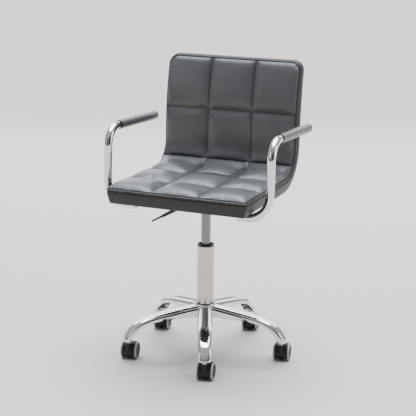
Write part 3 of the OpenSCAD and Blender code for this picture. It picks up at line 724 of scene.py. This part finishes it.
def outline(inset):
    """Points (across, along) round the shell's edge: up the left side, over the top, down, and back."""
    half = HALF_WIDTH - inset
    start, end = inset, TOP_ALONG - inset
    low_r, top_r = max(FRONT_CORNER - inset, LEAST_CORNER), max(TOP_CORNER - inset, LEAST_CORNER)
    turns = [math.radians(90 * step / CORNER_STEPS) for step in range(CORNER_STEPS + 1)]
    points = []
    for angle in turns:
        points.append((-half + low_r * (1 - math.sin(angle)), start + low_r * (1 - math.cos(angle))))
    for step in range(1, SIDE_STEPS):
        points.append((-half, start + low_r + (end - top_r - start - low_r) * step / SIDE_STEPS))
    for angle in turns:
        points.append((-half + top_r * (1 - math.cos(angle)), end - top_r * (1 - math.sin(angle))))
    return points + [(-across, along) for across, along in reversed(points)]


# %% The cover from rings of points
BAND_RINGS = [(0.013, 0.0), (0.0095, 0.0006), (0.0070, 0.0025), (0.0052, 0.006), (0.0032, 0.012),
              (0.0010, 0.021), (-0.0016, 0.029), (-0.0020, 0.0345)]
GROOVE_RINGS = [(0.0004, 0.0362), (0.0013, 0.0370), (0.0004, 0.0378)]
STRIP_RINGS = [(-0.0024, 0.0395), (-0.0026, 0.0425), (0.0006, 0.0448), (0.0030, 0.0452),
               (0.006, 0.0440), (0.008, 0.0330)]
UPRIGHT_TAPER = 0.3                             # up the back the band draws in by this share
UPRIGHT_BULGE, BULGE_DEPTH = 0.0035, 0.045


def shell_cover():
    mesh = bmesh.new()
    loops = []
    for inset, depth in BAND_RINGS + GROOVE_RINGS + STRIP_RINGS:
        loop = []
        bulge = UPRIGHT_BULGE * math.sin(math.pi * min(depth / BULGE_DEPTH, 1.0))
        upright = UPRIGHT_TAPER * inset - bulge
        for (across, along), (upright_across, upright_along) in zip(outline(inset), outline(upright)):
            up = min(max((along - FLAT_LENGTH) / BEND_LENGTH, 0.0), 1.0)
            across += up * (upright_across - across)
            along += up * (upright_along - along)
            thin = 1 + (face_depth(along) / FACE - 1) * depth / FACE
            loop.append(mesh.verts.new(shell_point(across, along, depth * thin)))
        loops.append(loop)
    count = len(loops[0])
    for lower, upper in zip(loops, loops[1:]):
        for index in range(count):
            following = (index + 1) % count
            mesh.faces.new((lower[index], lower[following], upper[following], upper[index]))
    for loop in (loops[0], loops[-1]):
        for index in range(count // 2 - 1):
            mesh.faces.new((loop[index], loop[index + 1], loop[count - 2 - index], loop[count - 1 - index]))
    bmesh.ops.recalc_face_normals(mesh, faces=mesh.faces)
    data = bpy.data.meshes.new("shell_cover")
    mesh.to_mesh(data)
    mesh.free()
    cover = bpy.data.objects.new("shell_cover", data)
    bpy.context.scene.collection.objects.link(cover)
    print("cover:", len(loops), "rings of", count, "points")
    return cover


cover = shell_cover()
give_finish(cover, band_leather)
smooth(cover, 50)
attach(cover, "seat")
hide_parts("outer_cover")

# %% [markdown]
# ## Welts
# Where panel meets band, the seam allowance is folded over a thin cord and sewn in: a welt. It runs
# round the whole outline. About nine millimetres below it a second seam joins the narrow strip to the
# band, and its thread lies in the groove. A curve with a round bevel, turned into a mesh, suits both.

# %% Sweep a round cord along points
def sweep(name, points, radius, material):
    curve = bpy.data.curves.new(name, "CURVE")
    curve.dimensions = "3D"
    curve.bevel_depth = radius
    curve.bevel_resolution = 3
    spline = curve.splines.new("POLY")
    spline.points.add(len(points) - 1)
    for point, place in zip(spline.points, points):
        point.co = (*place, 1.0)
    spline.use_cyclic_u = True
    cord = bpy.data.objects.new(name, curve)
    bpy.context.scene.collection.objects.link(cord)
    select_only(cord)
    bpy.ops.object.convert(target="MESH")
    cord = bpy.context.object
    give_finish(cord, material)
    smooth(cord, 60)
    return cord


def edge_points(inset, depth):
    """Places round the shell's edge, at one share of the padding's depth all the way."""
    points = []
    for across, along in outline(inset):
        points.append(shell_point(across, along, depth * face_depth(along) / FACE))
    return points


welt = sweep("welt", edge_points(inset=0.0024, depth=0.0458), radius=0.0018, material=band_leather)
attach(welt, "seat")

thread_line = sweep("thread_line", edge_points(inset=0.0008, depth=0.0371), radius=0.0006,
                    material=grey_thread)
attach(thread_line, "seat")
print("welts:", len(welt.data.polygons), len(thread_line.data.polygons), "faces")

# %% [markdown]
# ## The legs
# Each leg is a channel pressed from one steel sheet, open below and chromed: broad at the hub,
# nearly level for most of its length, then dipping to the castor. A grid can be bent to that form by
# moving every vertex to its place on the section there, and Solidify then gives it the sheet's
# thickness. Modelling one leg and turning four copies of it keeps all five alike.

# %% A leg's section at a distance from the column's axis
leg_low, leg_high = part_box("leg_1")
hub_low, hub_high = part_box("base_hub")
HUB_RADIUS = (hub_high[0] - hub_low[0]) / 2
LEG_REACH = (0.0265, 0.2518)                    # from inside the hub to the tip
LEG_ORIGIN, LEG_SPAN = 0.030, 0.222             # where the leg's curve begins, and its length
LEG_WIDTH, LEG_BELLY, LEG_NARROWING = 0.039, 0.006, 0.001
TIP_ROUNDING, TIP_WIDTH_SHARE, TIP_DROP, TIP_HEIGHT = 0.011, 0.15, 0.0025, 0.004
SLOPE_SHARE, DIP_POWER = 0.36, 6.6              # how the top falls: evenly, then fast at the tip
ROOT_LOW, EDGE_FALL, EDGE_POWER = 0.119, 1.51, 5.4     # the sides' lower edge, and how it falls
TOP_CORNER_RADIUS, CORNER_SHARE = 0.013, 0.8
LEG_COUNT, FIRST_LEG = 5, math.radians(-67.34)
LEG_SIDE, LEG_CORNER, LEG_FLAT = 4, 8, 5
LEG_HALF = LEG_SIDE + LEG_CORNER + LEG_FLAT


def leg_point(reach, column):
    """Where a vertex of the grid goes: columns run up one side, over the top and down the other."""
    share = max((reach - LEG_ORIGIN) / LEG_SPAN, 0.0)
    end = max(reach - (LEG_REACH[1] - TIP_ROUNDING), 0.0) / TIP_ROUNDING
    close = math.sqrt(max(1 - end * end, 0.0))
    half = 0.5 * (LEG_WIDTH + LEG_BELLY * math.sin(math.pi * share) - LEG_NARROWING * share)
    half *= TIP_WIDTH_SHARE + (1 - TIP_WIDTH_SHARE) * close
    fall = leg_high[2] - leg_low[2] - TIP_HEIGHT
    top = leg_high[2] - fall * (SLOPE_SHARE * share + (1 - SLOPE_SHARE) * share ** DIP_POWER)
    low = max(leg_low[2], ROOT_LOW - (ROOT_LOW - leg_low[2]) * EDGE_FALL * share ** EDGE_POWER)
    top -= TIP_DROP * (1 - close)
    corner = min(TOP_CORNER_RADIUS, CORNER_SHARE * (top - low), half)
    place = min(column, 2 * LEG_HALF - column)
    if place <= LEG_SIDE:
        across, height = half, low + (top - corner - low) * place / LEG_SIDE
    elif place <= LEG_SIDE + LEG_CORNER:
        turn = math.radians(90) * (place - LEG_SIDE) / LEG_CORNER
        across = half - corner + corner * math.cos(turn)
        height = top - corner + corner * math.sin(turn)
    else:
        across = (half - corner) * (LEG_HALF - place) / LEG_FLAT
        height = top
    return Vector((reach, across if column < LEG_HALF else -across, height))


# %% One leg from a grid
LEG_ROWS = 52
SHEET_THICKNESS = 0.0022
deselect_all()
bpy.ops.mesh.primitive_grid_add(x_subdivisions=LEG_ROWS, y_subdivisions=2 * LEG_HALF, size=1)
first_leg = bpy.context.object
first_leg.name = "pressed_leg_1"
for vertex in first_leg.data.vertices:
    row = round((vertex.co.x + 0.5) * LEG_ROWS) / LEG_ROWS
    column = round((vertex.co.y + 0.5) * 2 * LEG_HALF)
    reach = LEG_REACH[0] + (LEG_REACH[1] - LEG_REACH[0]) * (1 - (1 - row) ** 1.6)
    vertex.co = leg_point(reach, column)
select_only(first_leg)
bpy.ops.object.mode_set(mode="EDIT")
bpy.ops.mesh.select_all(action="SELECT")
bpy.ops.mesh.remove_doubles(threshold=0.00001)
bpy.ops.object.mode_set(mode="OBJECT")
top_face = max(first_leg.data.polygons, key=lambda face: face.center.z)
if top_face.normal.z < 0:
    bpy.ops.object.mode_set(mode="EDIT")
    bpy.ops.mesh.select_all(action="SELECT")
    bpy.ops.mesh.flip_normals()
    bpy.ops.object.mode_set(mode="OBJECT")
sheet_steel = first_leg.modifiers.new("sheet_steel", "SOLIDIFY")
sheet_steel.thickness = SHEET_THICKNESS
sheet_steel.offset = -1.0
apply_modifiers(first_leg)
give_finish(first_leg, chrome_plate)
smooth(first_leg, 50)
print("leg:", len(first_leg.data.polygons), "faces")


# %% The other four, and their places
def turned_copy(piece, name, angle):
    select_only(piece)
    bpy.ops.object.duplicate(linked=False)
    copy = bpy.context.object
    copy.name = name
    copy.data.transform(Matrix.Rotation(angle, 4, "Z"))
    return copy


legs = []
for number in range(2, LEG_COUNT + 1):
    bearing = FIRST_LEG + math.radians(360 / LEG_COUNT * (number - 1))
    legs.append(turned_copy(first_leg, "pressed_leg_%d" % number, bearing))
first_leg.data.transform(Matrix.Rotation(FIRST_LEG, 4, "Z"))
legs.insert(0, first_leg)
for number, leg in enumerate(legs, 1):
    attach(leg, "base")
    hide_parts("leg_%d" % number)
print("legs:", [leg.name for leg in legs])

# %% [markdown]
# ## Rings round the column
# A bright collar stands on the hub round the column's foot. A black ring inside it is painted shade for the
# gap.
# Each is a small round section spun about the column, which a torus gives at once; stretching it
# in edit mode makes the taller collar.

# %% Collar, and a black ring as painted shade
def spun_ring(name, radius, section, height, level, material, body):
    deselect_all()
    bpy.ops.mesh.primitive_torus_add(major_radius=radius, minor_radius=section, major_segments=96,
                                     minor_segments=16, location=(0, 0, level))
    ring = bpy.context.object
    ring.name = name
    bpy.ops.object.mode_set(mode="EDIT")
    bpy.ops.mesh.select_all(action="SELECT")
    bpy.ops.transform.resize(value=(1, 1, height / section), center_override=(0, 0, level))
    bpy.ops.object.mode_set(mode="OBJECT")
    bpy.ops.object.transform_apply(location=True, rotation=True, scale=True)
    give_finish(ring, material)
    smooth(ring, 60)
    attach(ring, body)
    return ring


collar = spun_ring("hub_collar", radius=HUB_RADIUS + 0.0008, section=0.0022, height=0.0032,
                   level=hub_high[2] - 0.0022, material=chrome_plate, body="base")
# Painted shade: a black ring where shadow fills the gap between column and hub.
foot_shade_ring = spun_ring("column_foot_shade_ring", radius=0.0262, section=0.0016, height=0.0016,
                      level=hub_high[2] + 0.0006, material=black_nylon, body="base")
print("rings:", collar.name, foot_shade_ring.name)

# %% [markdown]
# ## Stage and light
# A plain pale floor and large soft lights. Chrome shows what is around it, so it needs broad bright
# panels with darker gaps between them. A wide glow from above makes the seat bright and leaves the
# upright back and the band darker, and lights the floor evenly a long way back.

# %% Floor
deselect_all()
bpy.ops.mesh.primitive_plane_add(size=60, location=(0, 0, 0))
floor = bpy.context.object
floor.name = "floor"
floor_paint, _, floor_shader = start_material("pale_floor", Roughness=0.7)
floor_shader.inputs["Base Color"].default_value = (0.56, 0.52, 0.48, 1.0)
give_finish(floor, floor_paint)
print("floor:", floor_paint.name)


# %% Lights
def soft_light(name, place, target, size, watts, colour=(1.0, 1.0, 1.0)):
    light = bpy.data.lights.new(name, "AREA")
    light.shape = "RECTANGLE"
    light.size, light.size_y = size
    light.energy = watts
    light.color = colour
    lamp = bpy.data.objects.new(name, light)
    bpy.context.scene.collection.objects.link(lamp)
    aim = (Vector(target) - Vector(place)).to_track_quat("-Z", "Y")
    lamp.matrix_world = Matrix.Translation(place) @ aim.to_matrix().to_4x4()
    return lamp


soft_light("window", place=(-1.35, 3.3, 1.95), target=(0, 0, 0.9), size=(5.6, 2.2), watts=95,
           colour=(0.90, 0.95, 1.0))
soft_light("front_fill", place=(-2.2, -3.4, 2.4), target=(0, 0, 0.5), size=(1.2, 2.0), watts=16)
glow = bpy.data.lights.new("ceiling_glow", "SUN")
glow.energy = 8.0
glow.angle = math.radians(60)
glow.color = (0.86, 0.93, 1.0)
glow_lamp = bpy.data.objects.new("ceiling_glow", glow)
bpy.context.scene.collection.objects.link(glow_lamp)
glow_lamp.matrix_world = Vector((-0.04, 0.18, 1.0)).to_track_quat("Z", "Y").to_matrix().to_4x4()
soft_light("right_fill", place=(3.4, 0.9, 1.5), target=(0, 0.1, 0.6), size=(0.9, 1.8), watts=26,
           colour=(0.95, 0.97, 1.0))

# %% [markdown]
# ## The room
# The room is pale all round, with two darker strips that give the chrome its dark reflections. It
# is painted by the direction of sight, from a row of greys round the horizon and a bright ceiling.

# %% Paint the room
world = bpy.data.worlds.new("room")
bpy.context.scene.world = world
world.use_nodes = True
room = world.node_tree
direction = add_node(room, "ShaderNodeTexCoord")
split = add_node(room, "ShaderNodeSeparateXYZ")
wire(room, direction.outputs["Generated"], split.inputs[0])
around = maths(room, "ARCTAN2", split.outputs["Y"], split.outputs["X"])
share = maths(room, "MULTIPLY_ADD", around, 1 / (2 * math.pi), 0.5)
walls = add_node(room, "ShaderNodeValToRGB")
walls.color_ramp.interpolation = "EASE"
ROOM_STRENGTH = 0.55
WALL_STOPS = [(0.0, 0.75), (0.13, 0.70), (0.165, 0.03), (0.22, 0.04), (0.25, 0.60), (0.31, 0.45),
              (0.36, 0.05), (0.43, 0.03), (0.48, 0.70), (0.62, 0.90), (0.82, 1.00)]
while len(walls.color_ramp.elements) < len(WALL_STOPS):
    walls.color_ramp.elements.new(0.5)
for stop, (place, grey) in zip(walls.color_ramp.elements, WALL_STOPS):
    stop.position = place
    stop.color = (grey, grey, 1.02 * grey, 1.0)
wire(room, share, walls.inputs["Fac"])
ceiling = add_node(room, "ShaderNodeMix", data_type="RGBA")
ceiling.inputs["B"].default_value = (0.95, 0.95, 0.97, 1.0)
wire(room, stretch_value(room, split.outputs["Z"], 0.45, 0.8, 0.0, 1.0), ceiling.inputs["Factor"])
wire(room, walls.outputs["Color"], ceiling.inputs["A"])
wire(room, ceiling.outputs["Result"], room.nodes["Background"].inputs["Color"])
room.nodes["Background"].inputs["Strength"].default_value = ROOM_STRENGTH
print("wall greys:", len(WALL_STOPS))
